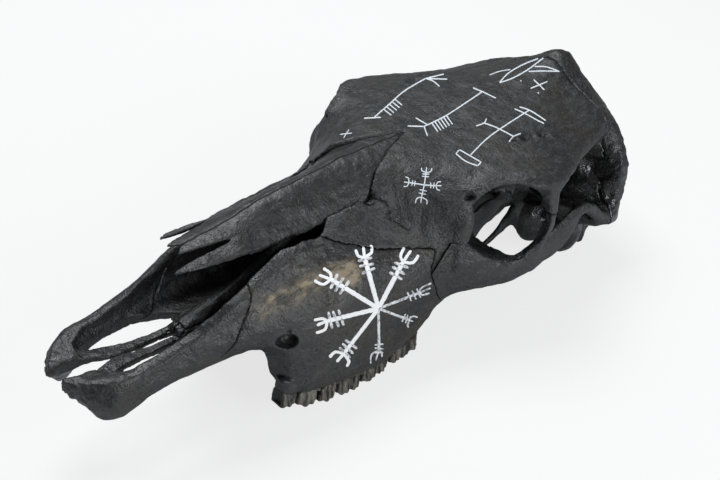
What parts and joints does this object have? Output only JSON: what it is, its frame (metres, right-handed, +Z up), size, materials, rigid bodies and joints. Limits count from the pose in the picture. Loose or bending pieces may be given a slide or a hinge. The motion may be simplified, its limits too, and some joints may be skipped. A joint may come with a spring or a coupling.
{
  "type": "cow skull",
  "caption": "Life-size cow cranium with cheek teeth, stained black and painted with white ornaments, resting on its teeth and the tips behind them.",
  "frame": {"origin": "centre of the bounding box at the floor on which the skull rests", "axes": "+Y from the nose to the nape, +X to the animal's left, +Z up"},
  "size_m": [0.2174, 0.4944, 0.145],
  "materials": {
    "black_bone": "dry bone stained black, satin, with porous rims",
    "worn_bone": "dry bone stained black, rubbed brown in places, with grey ridged teeth"
  },
  "bodies": {
    "root": {"cranium": "black_bone", "occipital": "black_bone", "zygomatic_left": "black_bone", "zygomatic_right": "black_bone", "maxilla_left": "worn_bone", "maxilla_right": "worn_bone", "premaxilla_left": "black_bone", "premaxilla_right": "black_bone", "nasal_left": "black_bone", "nasal_right": "black_bone", "vomer": "worn_bone"}
  },
  "joints": []
}
